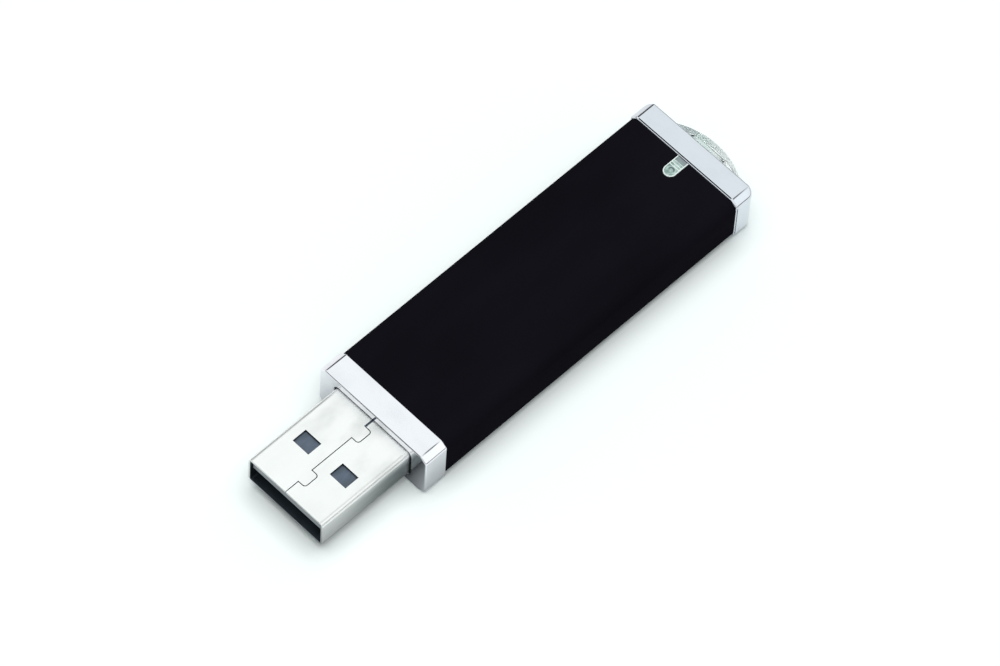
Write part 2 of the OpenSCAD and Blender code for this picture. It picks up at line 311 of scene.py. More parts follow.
@dataclass(frozen=True)
class Grained(Finish):
    """A finish in which one noise sets the colour, the roughness and the bump."""

    first: Colour = (0.5, 0.5, 0.5)
    second: Colour = (0.5, 0.5, 0.5)
    grain: Colour = (1.0, 1.0, 1.0)
    layers: Span = (2.0, 0.5)
    ramp: Span = (0.35, 0.7)
    metallic: float = 0.0
    roughness: Span = (0.5, 0.1)
    bump: Span = (0.003, 0.5)

    def inputs(self, tree: NodeTree) -> dict[str, Any]:
        """Everything follows the noise. Roughness is a base and what the noise adds."""
        noise = tree.noise(self.grain, *self.layers)
        base, gain = self.roughness
        return {
            "Base Color": tree.mix(noise.smooth(*self.ramp), self.first, self.second),
            "Metallic": self.metallic,
            "Roughness": base + noise * gain,
            "Normal": tree.bump(noise, *self.bump),
        }


@dataclass(frozen=True)
class SoftBlack(Finish):
    """Matte black plastic of the sleeve, with a fine spark-eroded grain."""

    dark: Colour = (0.0046, 0.0042, 0.0062)
    light: Colour = (0.0062, 0.0056, 0.0086)
    roughness: float = 0.62

    def inputs(self, tree: NodeTree) -> dict[str, Any]:
        """Cloudy black with a fine grain."""
        cloud = tree.noise((0.12, 0.05, 0.12), 3.0)
        grain = tree.noise((9.0, 9.0, 9.0), 3.0, 0.6)
        return {
            "Base Color": tree.mix(cloud.smooth(0.3, 0.75), self.dark, self.light),
            "Roughness": self.roughness + (grain - 0.5) * 0.12 + (cloud - 0.5) * 0.08,
            "Specular IOR Level": 0.0015,
            "Normal": tree.bump(grain, 0.006, 0.5),
        }


@dataclass(frozen=True)
class BrightTrim(Finish):
    """Bright plating on a moulded trim: a mirror with a faint waviness and fine haze."""

    tint: Colour = (0.845, 0.848, 0.892)
    haze: Colour = (0.795, 0.80, 0.848)
    roughness: float = 0.07

    def inputs(self, tree: NodeTree) -> dict[str, Any]:
        """Mirror with clouds of haze and fine wipe marks."""
        cloud = tree.noise((0.35, 0.5, 0.35), 3.0)
        wipe = tree.noise((0.8, 14.0, 6.0), 2.0, 0.6)
        wave = tree.noise((0.45, 0.45, 0.45), 1.0)
        return {
            "Base Color": tree.mix(cloud.smooth(0.35, 0.8), self.tint, self.haze),
            "Metallic": 1.0,
            "Roughness": self.roughness + cloud.smooth(0.45, 0.8) * 0.05 + wipe.smooth(0.55, 0.8) * 0.03,
            "Normal": tree.bump(wave, 0.004, 0.6),
        }


@dataclass(frozen=True)
class ShadedRearTrim(BrightTrim):
    """The rear cap's plating: the bezel's plating, with its colours painted darker and cooler as painted
    shade.
    """

    tint: Colour = (0.68, 0.71, 0.762)
    haze: Colour = (0.645, 0.675, 0.73)


@dataclass(frozen=True)
class PlugSteel(Finish):
    """Rolled and folded steel of the plug, satin, with soft grey clouds that grow into painted shade near
    its root, painted shade on its lower flanks and window walls, and painted shade inside.
    """

    tint: Colour = (0.96, 0.965, 0.955)
    cloud_and_shade_tint: Colour = (0.70, 0.715, 0.705)
    painted_flank_shade: Colour = (0.17, 0.21, 0.215)
    painted_window_shade: Colour = (0.03, 0.035, 0.045)
    window_half: Span = (1.27, 1.02)
    window_x: float = 3.0
    window_y: float = -28.05
    painted_inside_shade: Colour = (0.12, 0.15, 0.18)
    roughness: float = 0.38
    inner_half_width: float = 5.72
    inner_top: float = 5.62
    inner_low: float = 1.68
    flank_shade_across: Span = (5.75, 5.97)
    flank_shade_up: Span = (4.0, 5.8)
    flank_shade_along: Span = (-33.0, -22.0)

    def inputs(self, tree: NodeTree) -> dict[str, Any]:
        """Satin steel, brushed along the plug, with painted shade inside."""
        across, along, up = tree.place()
        cloud = tree.noise((0.28, 0.16, 0.28), 3.0)
        # Painted shade: towards the bezel (the root) the grey clouds grow much stronger, as shade beside it.
        root = along.smooth(-30.0, -21.0)
        brush = tree.noise((7.0, 0.35, 7.0), 3.0, 0.6)
        # Painted shade: every face inside the shell is painted dark.
        outside = (
            abs(across)
            .above(self.inner_half_width)
            .most(up.above(self.inner_top))
            .most((self.inner_low - up).above(0.0))
        )
        face = tree.mix(cloud.smooth(0.42, 0.70) * (0.12 + root * 0.7), self.tint, self.cloud_and_shade_tint)
        # Painted shade: the lower flanks are painted dark, most towards the rear, as the shaded floor that
        # they mirror.
        side = abs(across).smooth(*self.flank_shade_across) * (1.0 - up.smooth(*self.flank_shade_up))
        flank_shade_amount = side * (0.08 + along.smooth(*self.flank_shade_along) * 0.72)
        skin = tree.mix(flank_shade_amount, face, self.painted_flank_shade)
        # Painted shade: the steel at each window's cut walls is painted near black.
        beside = (self.window_half[0] - abs(abs(across) - self.window_x)).above(0.0)
        ahead = (self.window_half[1] - abs(along - self.window_y)).above(0.0)
        steel = tree.mix(beside * ahead, skin, self.painted_window_shade)
        return {
            "Base Color": tree.mix(outside, self.painted_inside_shade, steel),
            "Metallic": 1.0,
            "Roughness": self.roughness + (brush - 0.5) * 0.10 + (cloud - 0.5) * 0.08,
            "Normal": tree.bump(brush, 0.0016, 0.6),
        }


@dataclass(frozen=True)
class TonguePlastic(Finish):
    """Dark blue-grey plastic of the plug's tongue, with painted light on its nose."""

    dark: Colour = (0.050, 0.070, 0.092)
    light: Colour = (0.082, 0.105, 0.150)
    painted_lit_nose: Colour = (0.30, 0.325, 0.35)
    nose: float = -33.85
    lit_nose_length: float = 0.12

    def inputs(self, tree: NodeTree) -> dict[str, Any]:
        """Moulded plastic with slight flow marks and painted light on the nose."""
        _, along, _ = tree.place()
        flow = tree.noise((0.9, 0.3, 0.9), 3.0)
        grain = tree.noise((12.0, 12.0, 12.0), 2.0)
        plastic = tree.mix(flow.smooth(0.35, 0.7), self.dark, self.light)
        # Painted light: the front end of the tongue is painted pale.
        behind = along.smooth(self.nose + self.lit_nose_length, self.nose + 2 * self.lit_nose_length)
        return {
            "Base Color": tree.mix(behind, self.painted_lit_nose, plastic),
            "Roughness": 0.42 + (grain - 0.5) * 0.15,
            "Specular IOR Level": 0.5,
            "Normal": tree.bump(grain, 0.004, 0.4),
        }


@dataclass(frozen=True)
class ContactPlating(Grained):
    """Gold flash over nickel on the plug's contacts, worn a little where they rub."""

    first: Colour = (0.94, 0.71, 0.33)
    second: Colour = (0.80, 0.72, 0.56)
    grain: Colour = (9.0, 0.4, 9.0)
    layers: Span = (3.0, 0.6)
    ramp: Span = (0.5, 0.8)
    metallic: float = 1.0
    roughness: Span = (0.2, 0.12)
    bump: Span = (0.0015, 0.5)


@dataclass(frozen=True)
class ClearResin(Finish):
    """Clear resin of the loop, faintly green, with moulding strain in it."""

    tint: Colour = (0.975, 0.995, 0.988)
    strain: Colour = (0.80, 0.90, 0.86)

    def inputs(self, tree: NodeTree) -> dict[str, Any]:
        """Clear, with green clouds and a slight waviness."""
        across, _, _ = tree.place()
        cloud = tree.noise((0.25, 0.6, 0.4), 2.0)
        wave = tree.noise((0.9, 1.6, 0.9), 2.0)
        strained = cloud.smooth(0.35, 0.75) * (1.0 - across.smooth(-1.0, 3.0))
        return {
            "Base Color": tree.mix(strained, self.tint, self.strain),
            "Roughness": 0.06 + cloud * 0.06,
            "IOR": 1.49,
            "Transmission Weight": 0.9,
            "Normal": tree.bump(wave, 0.01, 0.5),
        }


@dataclass(frozen=True)
class LensResin(Finish):
    """The light guide's end in the sleeve: frosted teal, with a painted shade ring in the dimple over the
    lamp and a painted highlight on its rim and ribs.
    """

    front: float = 25.7
    half_width: float = 0.85
    # The rim colour is a painted highlight, used on the rim and on the ribs.
    rim: Colour = (0.78, 0.87, 0.84)
    pale: Colour = (0.46, 0.60, 0.56)
    deep: Colour = (0.18, 0.28, 0.26)
    # The shadow colour is painted shade, for the ring in the dimple.
    shadow: Colour = (0.045, 0.075, 0.08)
    back: Colour = (0.20, 0.235, 0.255)
    rib_pitch: float = 17.0

    def inputs(self, tree: NodeTree) -> dict[str, Any]:
        """Milky teal with a painted highlight on the rim and ribs, a painted shade ring in the dimple over
        the lamp and a grey rear end.
        """
        across, along, _ = tree.place()
        place = along - self.front
        cloud = tree.noise((1.6, 1.6, 1.6), 3.0)
        milky = tree.mix(cloud.smooth(0.32, 0.68), self.deep, self.pale)
        from_lamp = across * across + (place - 1.0) * (place - 1.0)
        # Painted shade: a dark ring round the dimple over the lamp.
        ring = from_lamp.smooth(0.05, 0.09) * (1.0 - from_lamp.smooth(0.14, 0.24)) * place.smooth(0.75, 1.25)
        ringed = tree.mix(ring, milky, self.shadow)
        wave = (place * self.rib_pitch).sine()
        # Painted highlight: pale stripes on the ribs, in the rim's colour.
        ribs = wave.smooth(0.1, 0.7) * place.smooth(1.3, 1.5) * (1.0 - place.smooth(2.2, 2.4))
        ribbed = tree.mix(ribs, ringed, self.rim)
        rear = tree.mix(place.smooth(2.25, 2.5) * cloud.smooth(0.35, 0.5), ribbed, self.back)
        # Painted highlight: the round front end's rim is painted pale.
        ahead = (self.half_width - place).most(0.0)
        from_middle = across * across + ahead * ahead
        return {
            "Base Color": tree.mix(from_middle.smooth(0.47, 0.58), rear, self.rim),
            "Roughness": 0.22 + cloud * 0.1,
            "IOR": 1.49,
            "Transmission Weight": 0.12,
            "Coat Weight": 0.3,
            "Normal": tree.bump(cloud, 0.02, 0.4),
        }


@dataclass(frozen=True)
class BoardLaminate(Finish):
    """Green solder mask over woven glass, with copper runs showing through it."""

    mask: Colour = (0.012, 0.10, 0.045)
    over_copper: Colour = (0.03, 0.20, 0.085)

    def inputs(self, tree: NodeTree) -> dict[str, Any]:
        """Solder mask with runs a quarter of a millimetre wide."""
        across, along, _ = tree.place()
        field_noise = tree.noise((0.28, 0.10, 0.28), 1.0)
        tracks = (across * 9.0 + field_noise * 14.0).sine().smooth(0.35, 0.6)
        weave = tree.noise((5.0, 5.0, 5.0), 2.0)
        return {
            "Base Color": tree.mix(tracks, self.mask, self.over_copper),
            "Roughness": 0.32 + (weave - 0.5) * 0.15,
            "Normal": tree.bump(tracks * 0.7 + weave * 0.3, 0.02, 0.6),
        }


@dataclass(frozen=True)
class ChipPlastic(Grained):
    """Black moulded epoxy of the chips, with a fine matt skin."""

    first: Colour = (0.010, 0.010, 0.011)
    second: Colour = (0.022, 0.022, 0.024)
    grain: Colour = (16.0, 16.0, 16.0)
    layers: Span = (3.0, 0.7)
    ramp: Span = (0.4, 0.75)
    metallic: float = 0.0
    roughness: Span = (0.5, 0.2)
    bump: Span = (0.006, 0.6)


@dataclass(frozen=True)
class LeadTin(Grained):
    """Matt, crystalline tin on the chips' leads."""

    first: Colour = (0.55, 0.56, 0.55)
    second: Colour = (0.74, 0.745, 0.73)
    grain: Colour = (22.0, 22.0, 22.0)
    layers: Span = (2.0, 0.5)
    ramp: Span = (0.35, 0.7)
    metallic: float = 1.0
    roughness: Span = (0.32, 0.15)
    bump: Span = (0.002, 0.5)


@dataclass(frozen=True)
class PartCeramic(Grained):
    """Tan ceramic of the capacitors and the crystal's base, with fine specks."""

    first: Colour = (0.42, 0.30, 0.18)
    second: Colour = (0.56, 0.43, 0.29)
    grain: Colour = (14.0, 14.0, 14.0)
    layers: Span = (3.0, 0.5)
    ramp: Span = (0.35, 0.7)
    metallic: float = 0.0
    roughness: Span = (0.4, 0.2)
    bump: Span = (0.004, 0.5)


@dataclass(frozen=True)
class LidMetal(Grained):
    """Drawn and brushed metal lid of the crystal."""

    first: Colour = (0.62, 0.61, 0.58)
    second: Colour = (0.80, 0.79, 0.75)
    grain: Colour = (1.0, 18.0, 1.0)
    layers: Span = (3.0, 0.6)
    ramp: Span = (0.35, 0.7)
    metallic: float = 1.0
    roughness: Span = (0.24, 0.14)
    bump: Span = (0.002, 0.5)


@dataclass(frozen=True)
class LampWhite(Grained):
    """White moulded reflector body of the lamp."""

    first: Colour = (0.74, 0.74, 0.70)
    second: Colour = (0.86, 0.86, 0.82)
    grain: Colour = (4.0, 4.0, 4.0)
    layers: Span = (2.0, 0.5)
    ramp: Span = (0.3, 0.7)
    metallic: float = 0.0
    roughness: Span = (0.37, 0.1)
    bump: Span = (0.003, 0.4)


@dataclass(frozen=True)
class LampClear(Finish):
    """Clear silicone over the lamp's die."""

    tint: Colour = (0.72, 0.92, 0.84)
    deep: Colour = (0.50, 0.80, 0.70)

    def inputs(self, tree: NodeTree) -> dict[str, Any]:
        """Clear drop."""
        cloud = tree.noise((3.0, 3.0, 3.0), 2.0)
        return {
            "Base Color": tree.mix(cloud, self.tint, self.deep),
            "Roughness": 0.12 + cloud * 0.08,
            "IOR": 1.42,
            "Transmission Weight": 0.7,
            "Normal": tree.bump(cloud, 0.003, 0.4),
        }


@dataclass(frozen=True)
class ResistorBlack(ChipPlastic):
    """Glossy black glass over the resistors."""

    first: Colour = (0.006, 0.006, 0.007)
    second: Colour = (0.014, 0.014, 0.016)


@dataclass(frozen=True)
class FerriteGrey(ChipPlastic):
    """Sintered grey ferrite."""

    first: Colour = (0.045, 0.045, 0.05)
    second: Colour = (0.085, 0.085, 0.09)


@dataclass(frozen=True)
class FloorPaper(Finish):
    """Plain white paper. Bright metal mirrors painted shade on it beside the plug, and painted light far to
    its sides.
    """

    white: Colour = (0.815, 0.868, 0.862)
    mirrored_shade: Colour = (0.16, 0.175, 0.18)
    mirrored_far_light: Colour = (1.0, 1.0, 1.0)

    def inputs(self, tree: NodeTree) -> dict[str, Any]:
        """White for every ray but those that a mirror sends, which see painted shade near the plug and
        painted light far to the sides.
        """
        across, along, _ = tree.place()
        beside = 1.0 - abs(across - 1.0).smooth(3.0, 14.0)
        near_plug = beside * (1.0 - abs(along + 26.0).smooth(9.0, 18.0))
        mirrored = Signal(tree, tree.node("ShaderNodeLightPath").outputs["Is Glossy Ray"])
        # Painted light: mirror rays see the paper brighter far to the sides.
        lifted = tree.mix(mirrored * abs(across).smooth(16.0, 30.0), self.white, self.mirrored_far_light)
        return {
            # Painted shade: mirror rays see a dark patch beside the plug.
            "Base Color": tree.mix(mirrored * near_plug, lifted, self.mirrored_shade),
            "Roughness": 0.3,
            "Specular IOR Level": 0.35,
        }


# ------------------------------------------------------------------ solid making


class Solid:
    """A closed mesh in millimetres that is cut, joined and rounded until it is a piece."""

    def __init__(self, shape: bmesh.types.BMesh) -> None:
        """Takes over a bmesh."""
        self.shape = shape

    @classmethod
    def block(cls, low: Sequence[float], high: Sequence[float]) -> "Solid":
        """A box.

        Args:
            low: Its lowest corner.
            high: Its highest corner.

        Returns:
            The box.
        """
        shape = bmesh.new()
        low_corner, high_corner = Vector(low), Vector(high)
        bmesh.ops.create_cube(shape, size=1.0)
        bmesh.ops.scale(shape, vec=high_corner - low_corner, verts=shape.verts)
        bmesh.ops.translate(shape, vec=(low_corner + high_corner) / 2, verts=shape.verts)
        return cls(shape)

    @classmethod
    def ball(cls, centre: Sequence[float], radius: float) -> "Solid":
        """A sphere.

        Args:
            centre: Its middle.
            radius: Its radius.

        Returns:
            The sphere.
        """
        shape = bmesh.new()
        bmesh.ops.create_uvsphere(shape, u_segments=40, v_segments=24, radius=radius)
        bmesh.ops.translate(shape, vec=Vector(centre), verts=shape.verts)
        return cls(shape)

    @classmethod
    def drum(cls, centre: Sequence[float], radius: float, height: float, segments: int = 48) -> "Solid":
        """An upright cylinder.

        Args:
            centre: Its middle.
            radius: Its radius.
            height: Its height.
            segments: Its number of sides.

        Returns:
            The cylinder.
        """
        shape = bmesh.new()
        bmesh.ops.create_cone(
            shape, cap_ends=True, segments=segments, radius1=radius, radius2=radius, depth=height
        )
        bmesh.ops.translate(shape, vec=Vector(centre), verts=shape.verts)
        return cls(shape)

    @classmethod
    def ribbon(
        cls,
        corners: Sequence[Span],
        rounded: Iterable[int],
        radius: float,
        width: float,
        low: float,
        high: float,
    ) -> "Solid":
        """An upright wall along a line seen from above.

        Args:
            corners: The line's corners.
            rounded: Which corners are rounded.
            radius: How far a rounded corner is cut back.
            width: The wall's thickness.
            low: Its lower edge.
            high: Its upper edge.

        Returns:
            The wall.
        """
        shape = bmesh.new()
        verts = [shape.verts.new((x, y, low)) for x, y in corners]
        for first, second in zip(verts, verts[1:]):
            shape.edges.new((first, second))
        bmesh.ops.bevel(
            shape,
            geom=[verts[i] for i in rounded],
            offset=radius,
            segments=5,
            profile=0.5,
            affect="VERTICES",
            material=-1,
        )
        walls = bmesh.ops.extrude_edge_only(shape, edges=list(shape.edges))
        raised = [g for g in walls["geom"] if isinstance(g, bmesh.types.BMVert)]
        bmesh.ops.translate(shape, vec=(0, 0, high - low), verts=raised)
        bmesh.ops.recalc_face_normals(shape, faces=list(shape.faces))
        made = cls(shape)
        made._modify("SOLIDIFY", thickness=width, offset=0.0, use_even_offset=True)
        return made

    def lines(self, chooser: Chooser) -> list[bmesh.types.BMEdge]:
        """The edges that a rule picks by their two ends."""
        return [e for e in self.shape.edges if chooser(e.verts[0].co, e.verts[1].co)]

    def round_off(
        self, chooser: Chooser, radius: float, segments: int = 3, clamp: bool = True
    ) -> "Solid":
        """Rounds the edges that a rule picks.

        Args:
            chooser: The rule, given an edge's two ends.
            radius: The rounding's radius.
            segments: How many faces go round it.
            clamp: Whether neighbouring roundings are kept from overlapping.

        Returns:
            The same solid.
        """
        bmesh.ops.bevel(
            self.shape,
            geom=self.lines(chooser),
            offset=radius,
            offset_type="OFFSET",
            segments=segments,
            profile=0.5,
            affect="EDGES",
            material=-1,
            clamp_overlap=clamp,
        )
        return self

    def keep_inside(self, low: Sequence[float], high: Sequence[float]) -> "Solid":
        """Moves any corner that a rounding left outside a box back onto the box.

        Args:
            low: The box's lowest corner.
            high: The box's highest corner.

        Returns:
            The same solid.
        """
        for corner in self.shape.verts:
            for axis in range(3):
                corner.co[axis] = min(max(corner.co[axis], low[axis]), high[axis])
        return self

    def shave(self, point: Sequence[float], outward: Sequence[float]) -> "Solid":
        """Cuts off what lies beyond a plane and closes the cut.

        Args:
            point: A point on the plane.
            outward: The direction that is cut off.

        Returns:
            The same solid.
        """
        geometry = list(self.shape.verts) + list(self.shape.edges) + list(self.shape.faces)
        cut = bmesh.ops.bisect_plane(
            self.shape,
            geom=geometry,
            dist=1e-6,
            plane_co=Vector(point),
            plane_no=Vector(outward),
            clear_outer=True,
        )
        rim = [g for g in cut["geom_cut"] if isinstance(g, bmesh.types.BMEdge)]
        bmesh.ops.holes_fill(self.shape, edges=rim, sides=0)
        return self

    def _object(self, name: str) -> bpy.types.Object:
        """Puts the mesh into an object of the scene."""
        bmesh.ops.remove_doubles(self.shape, verts=self.shape.verts, dist=1e-5)
        bmesh.ops.recalc_face_normals(self.shape, faces=list(self.shape.faces))
        mesh = bpy.data.meshes.new(name)
        self.shape.to_mesh(mesh)
        made = bpy.data.objects.new(name, mesh)
        bpy.context.scene.collection.objects.link(made)
        return made

    def _modify(self, kind: str, **settings: Any) -> None:
        """Runs one modifier on the mesh."""
        body = self._object("blank")
        modifier = body.modifiers.new(kind.lower(), kind)
        for name, value in settings.items():
            setattr(modifier, name, value)
        graph = bpy.context.evaluated_depsgraph_get()
        result = bpy.data.meshes.new_from_object(body.evaluated_get(graph))
        self.shape.free()
        self.shape = bmesh.new()
        self.shape.from_mesh(result)
        drop_object(body)
        bpy.data.meshes.remove(result)

    def combine(self, tool: "Solid", how: Cut) -> "Solid":
        """Runs one boolean with another solid.

        Args:
            tool: The other solid, which is used up.
            how: What is done with it.

        Returns:
            The same solid.
        """
        cutter = tool._object("tool")
        self._modify("BOOLEAN", object=cutter, operation=how.value, solver="EXACT")
        drop_object(cutter)
        tool.shape.free()
        return self

    def work(self, tool: "Solid", how: Cut) -> "Solid":
        """Runs one boolean and then joins the faces that lie in one plane.

        Args:
            tool: The other solid, which is used up.
            how: What is done with it.

        Returns:
            The same solid.
        """
        self.combine(tool, how)
        bmesh.ops.dissolve_limit(
            self.shape, angle_limit=FLAT, verts=list(self.shape.verts), edges=list(self.shape.edges)
        )
        return self

    def piece(
        self,
        name: str,
        finishes: Sequence[Finish],
        paint: Callable[[Vector], int] | None = None,
    ) -> bpy.types.Object:
        """Makes the finished piece, in metres, at the origin.

        Args:
            name: The piece's name.
            finishes: Its materials.
            paint: Which material a face takes, by the face's middle.

        Returns:
            The piece's object.
        """
        if paint:
            for face in self.shape.faces:
                face.material_index = paint(face.calc_center_median())
        bmesh.ops.scale(self.shape, vec=(MM, MM, MM), verts=self.shape.verts)
        for face in self.shape.faces:
            face.smooth = True
        mesh = bpy.data.meshes.new(name)
        bmesh.ops.recalc_face_normals(self.shape, faces=list(self.shape.faces))
        self.shape.to_mesh(mesh)
        self.shape.free()
        mesh.set_sharp_from_angle(angle=CREASE)
        made = bpy.data.objects.new(name, mesh)
        bpy.context.scene.collection.objects.link(made)
        for finish in finishes:
            mesh.materials.append(finish.make())
        shading = made.modifiers.new("even_shading", "WEIGHTED_NORMAL")
        shading.keep_sharp = True
        graph = bpy.context.evaluated_depsgraph_get()
        final = bpy.data.meshes.new_from_object(made.evaluated_get(graph))
        made.modifiers.clear()
        made.data = final
        final.name = name
        bpy.data.meshes.remove(mesh)
        return made


def drop_object(body: bpy.types.Object) -> None:
    """Deletes an object and its mesh."""
    mesh = body.data
    bpy.data.objects.remove(body)
    bpy.data.meshes.remove(mesh)


def runs(axis: Axis) -> Chooser:
    """A rule that picks edges along one direction."""
    others = [i for i in range(3) if i != axis.value]
    return lambda a, b: all(abs(a[i] - b[i]) < SAME for i in others)


def lies(axis: Axis, place: float) -> Chooser:
    """A rule that picks edges in a plane across one direction."""
    i = axis.value
    return lambda a, b: abs(a[i] - place) < SAME and abs(b[i] - place) < SAME


def both(first: Chooser, second: Chooser) -> Chooser:
    """A rule that picks edges that two rules pick."""
    return lambda a, b: first(a, b) and second(a, b)


def within(low: Sequence[float], high: Sequence[float]) -> Chooser:
    """A rule that picks edges inside a box."""
    inside = lambda p: all(low[i] <= p[i] <= high[i] for i in range(3))
    return lambda a, b: inside(a) and inside(b)


def node_box(node: str) -> tuple[Vector, Vector]:
    """A CAD node's lowest and highest corner in millimetres."""
    low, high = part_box(node)
    return low / MM, high / MM


def hand_over(piece: bpy.types.Object, slot: str, *nodes: str) -> None:
    """Fixes a piece to the body and says which CAD nodes it stands for.

    Args:
        piece: The finished piece.
        slot: Not used.
        *nodes: The CAD nodes.
    """
    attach(piece, ROOT)
    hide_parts(*nodes)
    log.info("%s: %d faces, for %s", piece.name, len(piece.data.polygons), ", ".join(nodes))


# ------------------------------------------------------------------ the case


@dataclass
class Case:
    """The sleeve and the two bright trims that close it."""

    sleeve_radius: float = 1.85
    side_wall: float = 1.2
    flat_wall: float = 1.0
    cavity_radius: float = 0.5
    slot_width: float = 1.8
    slot_length: float = 3.1
    bevel: Span = (0.9, 0.75)
    cap_corner: float = 0.9
    plug_gap: float = 0.2
    opening_radius: float = 0.85
    edge: float = 0.12
    long_edge: float = 0.2
    rim_edge: float = 0.2
    rear_edge: float = 0.22
    window_edge: float = 0.06
    loop_slot_half_height: float = 1.25
    loop_slot_gap: float = 0.05
    loop_slot_radius: float = 0.3
    over: float = 1.0

    def section(self, low: Vector, high: Vector, radius: float, segments: int) -> Solid:
        """A bar along the stick with four rounded long edges.

        Args:
            low: Its lowest corner.
            high: Its highest corner.
            radius: The radius of its long edges.
            segments: How many faces go round one of them.

        Returns:
            The bar.
        """
        return Solid.block(low, high).round_off(runs(Axis.ALONG), radius, segments)

    def bevelled_bar(self, low: Vector, high: Vector) -> Solid:
        """A bar along the stick with four flat bevels.

        Args:
            low: Its lowest corner.
            high: Its highest corner.

        Returns:
            The bar.
        """
        bar = Solid.block(low, high)
        bevel_x, bevel_z = self.bevel
        for side in (-1, 1):
            for up in (-1, 1):
                corner_x = high.x if side > 0 else low.x
                corner_z = high.z if up > 0 else low.z
                bar.shave((corner_x - side * bevel_x, 0.0, corner_z), (side * bevel_z, 0.0, up * bevel_x))
        return bar

    def sleeve(self) -> None:
        """Builds the black sleeve with its lamp slot."""
        low, high = node_box("body_sleeve")
        body = self.section(low, high, self.sleeve_radius, 12)
        for end in (low.y, high.y):
            body.round_off(lies(Axis.ALONG, end), self.edge, 3)
        walls = Vector((self.side_wall, -self.over, self.flat_wall))
        cavity = self.section(low + walls, high - walls, self.cavity_radius, 5)
        body.work(cavity, Cut.TAKE)
        front = high.y - self.slot_length
        half = self.slot_width / 2
        floor = high.z - 2 * self.flat_wall
        window = self.slot_tool(half, front, high.y + self.over, floor, high.z + self.over)
        body.work(window, Cut.TAKE)
        mouth = within(
            (-half - NEAR, front - NEAR, high.z - SKIN), (half + NEAR, high.y - self.edge, high.z + SKIN)
        )
        body.round_off(mouth, self.window_edge, 2)
        hand_over(body.piece("sleeve_shell", [SoftBlack()]), "sleeve_plastic", "body_sleeve")

    @staticmethod
    def slot_tool(half: float, front: float, rear: float, low: float, high: float) -> Solid:
        """A bar with one round end, as wide as a slot.

        Args:
            half: Half of its width.
            front: Where its round end starts.
            rear: Its square end.
            low: Its underside.
            high: Its top.

        Returns:
            The bar.
        """
        bar = Solid.block((-half, front, low), (half, rear, high))
        front_posts = both(runs(Axis.UP), lies(Axis.ALONG, front))
        return bar.round_off(front_posts, half * 0.999, 14)

    def bezel(self) -> None:
        """Builds the bright front bezel with the plug's opening."""
        shell_low, shell_high = node_box("plug_shell")
        low, high = node_box("front_bezel")
        rear = node_box("body_sleeve")[0].y
        high = Vector((high.x, rear, high.z))
        body = self.bevelled_bar(low, high)
        body.round_off(runs(Axis.ALONG), self.long_edge, 4)
        body.round_off(lies(Axis.ALONG, low.y), self.rim_edge, 4)
        body.round_off(lies(Axis.ALONG, rear), self.edge, 3)
        gap = Vector((self.plug_gap, 0.0, self.plug_gap))
        opening_low = Vector((shell_low.x, low.y - self.over, shell_low.z)) - gap
        opening_high = Vector((shell_high.x, rear + self.over, shell_high.z)) + gap
        body.work(self.section(opening_low, opening_high, self.opening_radius, 8), Cut.TAKE)
        inner = within(
            (opening_low.x - NEAR, low.y - SKIN, opening_low.z - NEAR),
            (opening_high.x + NEAR, low.y + SKIN, opening_high.z + NEAR),
        )
        body.round_off(inner, self.edge, 3)
        hand_over(body.piece("bezel_ring", [BrightTrim()]), "bright_trim", "front_bezel")

    def cap(self) -> None:
        """Builds the bright rear cap with the loop's slot."""
        low, high = node_box("rear_cap")
        front = node_box("body_sleeve")[1].y
        low = Vector((low.x, front, low.z))
        body = Solid.block(low, high)
        rear_posts = both(runs(Axis.UP), lies(Axis.ALONG, high.y))
        body.round_off(rear_posts, self.cap_corner, 8)
        bevel_x, bevel_z = self.bevel
        for side in (-1, 1):
            for up in (-1, 1):
                corner_z = high.z if up > 0 else low.z
                body.shave((side * (high.x - bevel_x), 0.0, corner_z), (side * bevel_z, 0.0, up * bevel_x))
        body.round_off(lies(Axis.ALONG, front), self.edge, 3)
        mid = (low.z + high.z) / 2
        half_h = self.loop_slot_half_height
        half_w = node_box("light_guide_loop")[1].x + self.loop_slot_gap
        slot = self.section(
            Vector((-half_w, front - self.over, mid - half_h)),
            Vector((half_w, high.y + self.over, mid + half_h)),
            self.loop_slot_radius,
            4,
        )
        body.work(slot, Cut.TAKE)
        body.round_off(self.sharp_outside(body, front), self.rear_edge, 4, clamp=False)
        body.keep_inside(low, high)
        hand_over(body.piece("rear_cap_shell", [ShadedRearTrim()]), "bright_trim", "rear_cap")

    @staticmethod
    def sharp_outside(body: Solid, front: float) -> Chooser:
        """A rule for the cap's outer edges: those whose faces meet at a clear angle.

        Args:
            body: The cap.
            front: The plane where it meets the sleeve.

        Returns:
            The rule.
        """
        sharp = {
            tuple(sorted((tuple(e.verts[0].co), tuple(e.verts[1].co))))
            for e in body.shape.edges
            if len(e.link_faces) == 2 and e.calc_face_angle(0.0) > SHARP
        }
        return lambda a, b: (
            tuple(sorted((tuple(a), tuple(b)))) in sharp and min(a.y, b.y) > front + 0.05
        )

    def build(self) -> None:
        """Builds the case."""
        self.sleeve()
        self.bezel()
        self.cap()


# ------------------------------------------------------------------ light guide and loop


